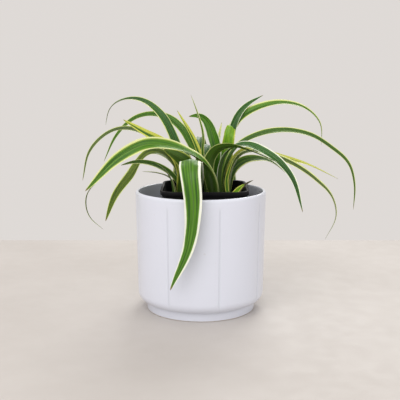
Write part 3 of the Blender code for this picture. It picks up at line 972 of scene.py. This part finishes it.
def inner_profile():
    """Lip to floor: radius, height and nought, because no panels show inside."""
    inner = RIM_RADIUS - WALL
    top = POT_HEIGHT - LIP_ROUND_HEIGHT
    lip = arc(inner + LIP_ROUND, top, LIP_ROUND, LIP_ROUND_HEIGHT, 90, 180, 6)[1:]
    wall = []
    for i in range(1, INSIDE_STEPS + 1):
        down = i / INSIDE_STEPS
        wall.append((inner - WALL_LEAN * down, top - (POT_HEIGHT - WALL_END) * down))
    corner = arc(FOOT_RADIUS - FLOOR_CORNER_INSET, POT_FLOOR + FLOOR_CORNER,
                 FLOOR_CORNER, FLOOR_CORNER, 0, -90, 8)
    return [(r, z, 0.0) for r, z in lip + wall + corner]


# %% Outer pot mesh
bm = bmesh.new()
rings = []
seams = []
angles = panel_angles()
for radius, height, shown in outer_profile() + inner_profile():
    ring = []
    for angle, near in angles:
        r = radius - seam_dip(near) * shown
        ring.append((r * math.cos(angle), r * math.sin(angle), height))
        # How near each point lies to a seam, where the glaze darkens for pooled glaze and painted shade.
        seams.append(shown * max(0.0, 1 - near / SEAM_POOL_AND_SHADE_WIDTH))
    rings.append(add_ring(bm, ring))
skin_rings(bm, rings)
outer_pot = finish_piece("glazed_pot", bm, 70)
set_attribute(outer_pot.data, "seam", seams)
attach(outer_pot, "root")
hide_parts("outer_pot")
print("outer pot faces:", len(outer_pot.data.polygons))

# %% [markdown]
# ## White glaze
# Glaze is glass over pale clay. It is bright and cool, it pools a shade darker
# under the shoulder, and a few specks of clay show through it. In the seams it
# is darker still, partly from glaze that pools there and partly as painted
# shade in the grooves. Its gloss is never quite even: a slow swell in the
# roughness softens the reflections here and there. The foot is wiped clean
# before firing, so the very bottom shows bare clay.

# %% Glaze material
GLAZE = (0.745, 0.775, 0.880, 1)
GLAZE_POOLED = (0.715, 0.750, 0.845, 1)
GLAZE_AND_SHADE_IN_SEAM = (0.560, 0.590, 0.670, 1)
SEAM_POOL_AND_SHADE = 0.40
GLAZE_ROUGHNESS = 0.29
GLAZE_ROUGHNESS_SWING = 0.02
GLAZE_SPECK = (0.50, 0.47, 0.44, 1)
BARE_CLAY = (0.56, 0.50, 0.43, 1)
POOL_SHARE = 0.35
LOW_POOL_SHARE = 0.5
LOW_POOL_HEIGHTS = 6 * MM, 16 * MM
BARE_CLAY_HEIGHTS = 0.9 * MM, 0.4 * MM

material, tree, shader = start_material("white_glaze")
texture = use_group(tree, grain, Broad_Scale=14.0, Fine_Scale=260.0, Fine_Share=0.12)
place = add_node(tree, "ShaderNodeSeparateXYZ")
plug(tree, add_node(tree, "ShaderNodeTexCoord").outputs["Object"], place.inputs[0])
height = place.outputs["Z"]
pooled = calc(tree, "MULTIPLY", ease(tree, texture["Mottle"], 0.35, 0.7), POOL_SHARE)
low = ease(tree, height, *LOW_POOL_HEIGHTS, LOW_POOL_SHARE, 0.0)
color = blend(tree, calc(tree, "MAXIMUM", pooled, low), GLAZE, GLAZE_POOLED)
# The seams darken partly for pooled glaze and partly as painted shade in the grooves.
seam_pool_and_shade = calc(tree, "MULTIPLY", ease(tree, read_attribute(tree, "seam"), 0.1, 0.9), SEAM_POOL_AND_SHADE)
color = blend(tree, seam_pool_and_shade, color, GLAZE_AND_SHADE_IN_SEAM)
specks = ease(tree, texture["Fine"], 0.72, 0.77, 0.0, 0.18)
color = blend(tree, specks, color, GLAZE_SPECK)
color = blend(tree, ease(tree, height, *BARE_CLAY_HEIGHTS), color, BARE_CLAY)
plug(tree, color, shader.inputs["Base Color"])
roughness = calc(tree, "MULTIPLY_ADD", texture["Mottle"], GLAZE_ROUGHNESS_SWING, GLAZE_ROUGHNESS)
plug(tree, roughness, shader.inputs["Roughness"])
shader.inputs["Coat Weight"].default_value = 0.35
shader.inputs["Coat Roughness"].default_value = 0.12
outer_pot.data.materials.append(material)

# %% [markdown]
# ## The nursery pot
# The grower's pot is blown from thin black plastic: square with round corners,
# tapered so that pots nest, and stiffened by a turned lip. Rounded squares
# stacked from the outside of the base, over the lip and down to the inner
# floor make the shell in one go, and four round cutters open the drain holes.

# %% Nursery pot shape
NURSERY_X = 3.5
NURSERY_RIM = 114.3
NURSERY_TOP = 79.0
NURSERY_BASE = 62.0
NURSERY_WALL = 1.1
NURSERY_LIP = 1.2
NURSERY_LIP_HEIGHT = 4.0
NURSERY_LIP_SLOPE = 0.4
NURSERY_CORNER = 13.0
NURSERY_LOW = 8.85
NURSERY_FLOOR = 1.6
WALL_RINGS = 30, 60, 90
CORNER_STEPS = 12
DRAIN_RADIUS = 3.5
DRAIN_OFFSET = 17.0
DRAIN_CUT = 8
DRAIN_SEGMENTS = 32
# Rounded edges of the shell, as steps in width and height from the sharp edge.
BASE_EDGE = (-1.6, 0.0), (-0.4, 0.3)
LIP_LOWER_EDGE = (-0.5, 0.2), (0.0, 0.6)
LIP_UPPER_EDGE = (0.0, -0.7), (-0.3, -0.2), (-0.9, 0.0)
LIP_INNER_EDGE = (0.8, 0.0), (0.2, -0.2), (0.0, -0.7)
FLOOR_EDGE = (-0.8, 0.3), (-2.4, 0.0)
FLOOR_EDGE_RISE = 1.5


def square_ring(width, height):
    """Square with round corners, centred on the nursery pot."""
    corner = NURSERY_CORNER * width / NURSERY_TOP
    reach = width / 2 - corner
    points = []
    for quarter in range(4):
        side_x = 1 if quarter in (0, 3) else -1
        side_y = 1 if quarter in (0, 1) else -1
        for step in range(CORNER_STEPS + 1):
            angle = math.pi / 2 * (quarter + step / CORNER_STEPS)
            x = NURSERY_X + side_x * reach + corner * math.cos(angle)
            points.append((x, side_y * reach + corner * math.sin(angle), height))
    return points


def taper(height):
    """Outer width of the nursery pot's wall at a height."""
    share = (height - NURSERY_LOW) / (NURSERY_RIM - NURSERY_LOW)
    return NURSERY_BASE + (NURSERY_TOP - 2 * NURSERY_LIP - NURSERY_BASE) * share


def rounded_edge(width, height, steps):
    return [(width + out, height + up) for out, up in steps]


def nursery_profile():
    """(width, height) from the base, over the lip and down to the inner floor."""
    low, rim, skin = NURSERY_LOW, NURSERY_RIM, 2 * NURSERY_WALL
    under_lip = rim - NURSERY_LIP_HEIGHT
    floor = low + NURSERY_FLOOR
    outside_rings = (low + 1, *WALL_RINGS, under_lip - NURSERY_LIP_SLOPE, under_lip)
    inside_rings = (*reversed(WALL_RINGS), floor + FLOOR_EDGE_RISE)
    profile = rounded_edge(taper(low), low, BASE_EDGE)
    profile += [(taper(height), height) for height in outside_rings]
    profile += rounded_edge(NURSERY_TOP, under_lip, LIP_LOWER_EDGE)
    profile += rounded_edge(NURSERY_TOP, rim, LIP_UPPER_EDGE)
    profile += rounded_edge(taper(rim) - skin, rim, LIP_INNER_EDGE)
    profile += [(taper(height) - skin, height) for height in inside_rings]
    return profile + rounded_edge(taper(floor) - skin, floor, FLOOR_EDGE)


# %% Nursery pot mesh
bm = bmesh.new()
rings = [add_ring(bm, square_ring(width, height)) for width, height in nursery_profile()]
skin_rings(bm, rings)
nursery_pot = finish_piece("plastic_pot", bm, 45)

bm = bmesh.new()
for side_x in (-1, 1):
    for side_y in (-1, 1):
        spot = Vector((NURSERY_X + side_x * DRAIN_OFFSET, side_y * DRAIN_OFFSET, NURSERY_LOW)) * MM
        bmesh.ops.create_cone(bm, cap_ends=True, segments=DRAIN_SEGMENTS, radius1=DRAIN_RADIUS * MM,
                              radius2=DRAIN_RADIUS * MM, depth=DRAIN_CUT * MM,
                              matrix=Matrix.Translation(spot))
cutter = finish_piece("drain_cutter", bm)
cut = nursery_pot.modifiers.new("drain_holes", "BOOLEAN")
cut.operation = "DIFFERENCE"
cut.solver = "EXACT"
cut.object = cutter
evaluated = nursery_pot.evaluated_get(bpy.context.evaluated_depsgraph_get())
shaped = bpy.data.meshes.new_from_object(evaluated)
nursery_pot.modifiers.clear()
nursery_pot.data = shaped
bpy.data.objects.remove(cutter, do_unlink=True)
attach(nursery_pot, "root")
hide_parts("nursery_pot")
print("nursery pot faces:", len(nursery_pot.data.polygons))

# %% [markdown]
# ## Black plastic
# Blown polypropylene has a faint satin grain from the mould, a little dry soil
# dust on the faces that look up, and scuffs that are rougher than the rest.

# %% Plastic material
PLASTIC_BLACK = (0.004, 0.004, 0.005, 1)
SOIL_DUST = (0.030, 0.025, 0.020, 1)
PLASTIC_ROUGHNESS = 0.55, 0.75
PLASTIC_RELIEF = 0.08

material, tree, shader = start_material("black_plastic")
texture = use_group(tree, grain, Broad_Scale=45.0, Fine_Scale=1400.0, Fine_Share=0.5)
facing = add_node(tree, "ShaderNodeSeparateXYZ")
plug(tree, add_node(tree, "ShaderNodeNewGeometry").outputs["Normal"], facing.inputs[0])
looks_up = ease(tree, facing.outputs["Z"], 0.4, 1.0)
dust = calc(tree, "MULTIPLY", looks_up, ease(tree, texture["Mottle"], 0.45, 0.7, 0.0, 0.35))
plug(tree, blend(tree, dust, PLASTIC_BLACK, SOIL_DUST), shader.inputs["Base Color"])
plug(tree, ease(tree, texture["Mottle"], 0.3, 0.7, *PLASTIC_ROUGHNESS), shader.inputs["Roughness"])
add_bump(tree, shader, texture["Height"], PLASTIC_RELIEF, 0.5)
shader.inputs["Specular IOR Level"].default_value = 0.2
nursery_pot.data.materials.append(material)

# %% [markdown]
# ## The potting mix
# Potting mix is peat fibre, bark and grit. A smooth lump with a bump map looks
# like cake, so the top is a fine sheet pushed up and down by noise, strewn with
# a few hundred small crumbs of bark, each an icosphere squashed and roughened
# in its own way. All of it is one mesh, because it is one thing.

# %% Potting mix mesh
SOIL_LOW = 10.8
SOIL_RINGS = 34
SOIL_CROWN = 1.4
SOIL_SINK = 1.2
SOIL_GAP = 0.7
SOIL_LOW_GAP = 3.4
LUMP_SIZE = 7
LUMP_RISE = 0.9
GRIT_SIZE = 2.4
GRIT_RISE = 0.7
CRUMBS = 420
CRUMB_SIZE = 1.5
CRUMB_ROUGHNESS = 0.35
CRUMBS_SPREAD = 0.47
CRUMBS_REACH = 0.60
CRUMB_LIFT = 0.2


def soil_height(x, y, share):
    """Height of the surface, share being how far a place is from the middle to the wall."""
    crown = SOIL_CROWN * (1 - share ** 4)
    lumps = noise.noise(Vector((x / LUMP_SIZE, y / LUMP_SIZE, 1.0))) * LUMP_RISE
    grit = noise.noise(Vector((x / GRIT_SIZE, y / GRIT_SIZE, 5.0))) * GRIT_RISE
    return SOIL_HEIGHT + crown - SOIL_SINK + (lumps + grit) * (1 - share ** 8)


def add_crumb(bm, chance, x, y, z):
    """One crumb of bark: a ball squashed, roughened and turned by chance."""
    size = chance.uniform(0.5, 1.1) ** 2 * CRUMB_SIZE
    turn = Euler([chance.uniform(0, math.tau) for _ in range(3)]).to_matrix().to_4x4()
    shape = Matrix.Diagonal((size * chance.uniform(0.8, 2.4), size, size * chance.uniform(0.4, 0.9), 1))
    made = bmesh.ops.create_icosphere(bm, subdivisions=2, radius=MM)
    for vert in made["verts"]:
        vert.co *= 1 + CRUMB_ROUGHNESS * noise.noise(vert.co / MM * 1.4 + Vector((x, y, 0)))
        vert.co = Matrix.Translation(Vector((x, y, z)) * MM) @ (turn @ (shape @ vert.co))


bm = bmesh.new()
soil_width = taper(SOIL_HEIGHT) - 2 * NURSERY_WALL - SOIL_GAP
low_width = taper(SOIL_LOW) - 2 * NURSERY_WALL - SOIL_LOW_GAP
edge = square_ring(soil_width, SOIL_HEIGHT)
rings = [add_ring(bm, square_ring(low_width, SOIL_LOW))]
for index in range(SOIL_RINGS):
    share = 1 - index / SOIL_RINGS
    ring = []
    for x, y, _ in edge:
        px, py = NURSERY_X + (x - NURSERY_X) * share, y * share
        ring.append((px, py, soil_height(px, py, share)))
    rings.append(add_ring(bm, ring))
skin_rings(bm, rings)
chance = random.Random(5)
for _ in range(CRUMBS):
    x = NURSERY_X + chance.uniform(-CRUMBS_SPREAD, CRUMBS_SPREAD) * soil_width
    y = chance.uniform(-CRUMBS_SPREAD, CRUMBS_SPREAD) * soil_width
    if math.hypot(x - NURSERY_X, y) < CRUMBS_REACH * soil_width:
        share = max(abs(x - NURSERY_X), abs(y)) / (0.5 * soil_width)
        add_crumb(bm, chance, x, y, soil_height(x, y, share) + CRUMB_LIFT)
soil = finish_piece("soil", bm, 60)
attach(soil, "root")
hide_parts("potting_mix")
print("potting mix faces:", len(soil.data.polygons))

# %% Potting mix material
PEAT_COLORS = (0.010, 0.007, 0.005, 1), (0.060, 0.038, 0.022, 1)
BARK_COLOR = (0.16, 0.11, 0.07, 1)
SOIL_ROUGHNESS = 0.8, 1.0
SOIL_RELIEF = 0.4

material, tree, shader = start_material("potting_mix")
texture = use_group(tree, grain, Broad_Scale=240.0, Fine_Scale=1500.0, Fine_Share=0.8)
color = blend(tree, ease(tree, texture["Mottle"], 0.35, 0.65), *PEAT_COLORS)
color = blend(tree, ease(tree, texture["Fine"], 0.62, 0.72, 0.0, 0.6), color, BARK_COLOR)
plug(tree, color, shader.inputs["Base Color"])
plug(tree, ease(tree, texture["Fine"], 0.3, 0.7, *SOIL_ROUGHNESS), shader.inputs["Roughness"])
add_bump(tree, shader, texture["Height"], SOIL_RELIEF, 0.8)
soil.data.materials.append(material)
